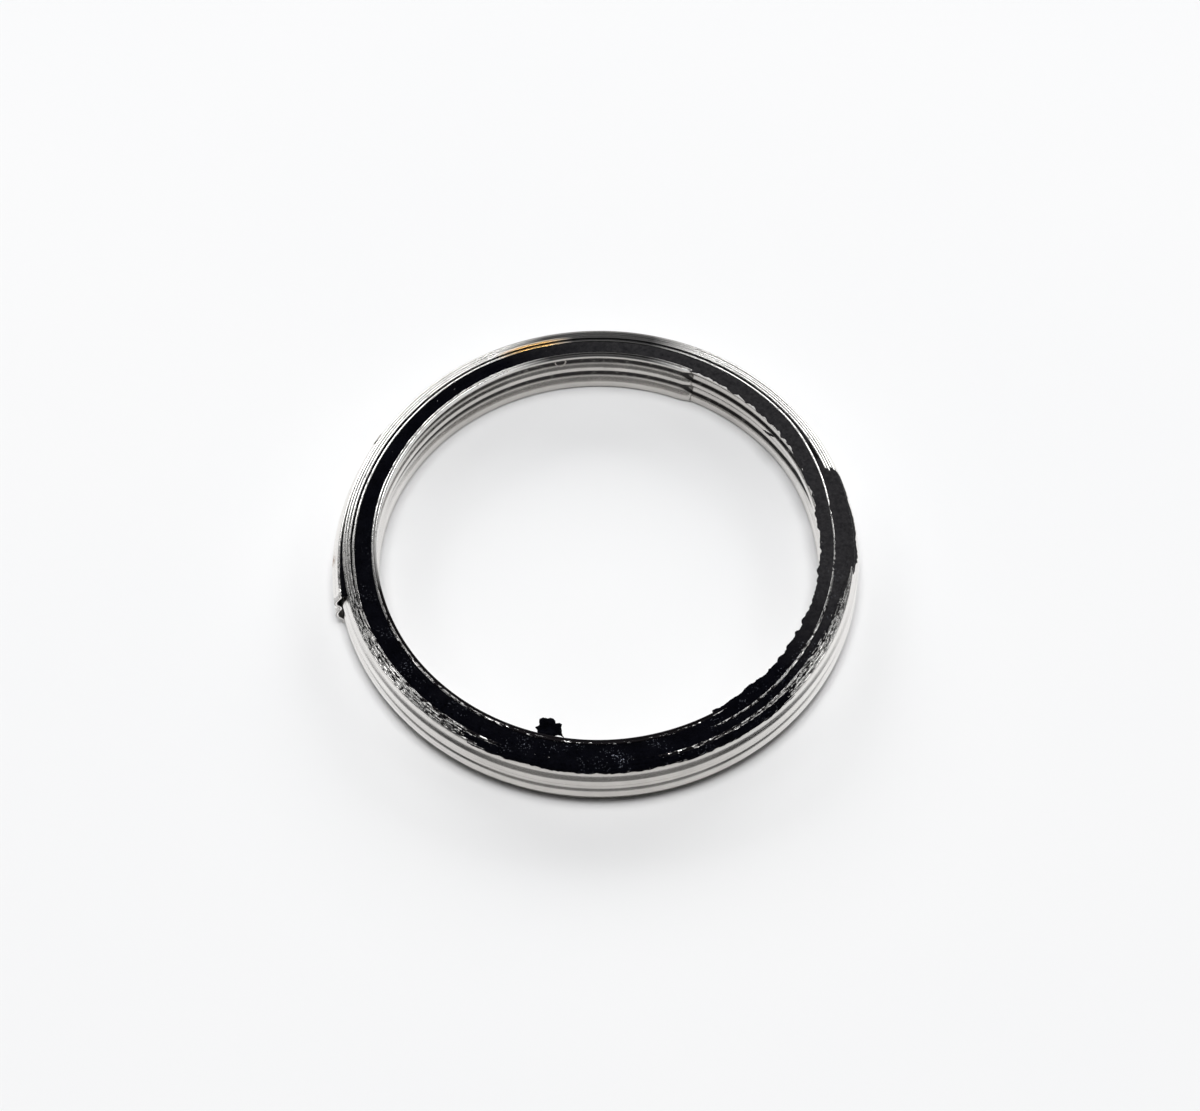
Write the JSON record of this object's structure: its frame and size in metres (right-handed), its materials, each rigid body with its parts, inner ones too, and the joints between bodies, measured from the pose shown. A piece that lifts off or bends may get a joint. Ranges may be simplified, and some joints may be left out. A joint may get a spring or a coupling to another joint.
{
  "type": "spiral-wound ring gasket",
  "caption": "Flat sealing ring wound from a thin ribbed stainless strip with a graphite tape between some of its laps, spot welded at both ends, with a small free end outside.",
  "frame": {"origin": "on the ring's axis, in the plane of the lower face that it rests on", "axes": "+Z along the ring's axis, up; the strip's free outer end is at 193 degrees anticlockwise from +X seen from above"},
  "size_m": [0.0449, 0.0448, 0.0053],
  "materials": {
    "stainless_strip": "bright rolled strip, ribbed",
    "graphite_tape": "crumbly compressed flake graphite",
    "spot_weld": "dull, slightly heat-tinted"
  },
  "bodies": {
    "root": {"wound_metal_strip": "stainless_strip", "graphite_filler": "graphite_tape", "inner_end_spot_weld": "spot_weld", "outer_end_spot_weld": "spot_weld", "graphite_chip": "graphite_tape", "graphite_sliver": "graphite_tape"}
  },
  "joints": []
}
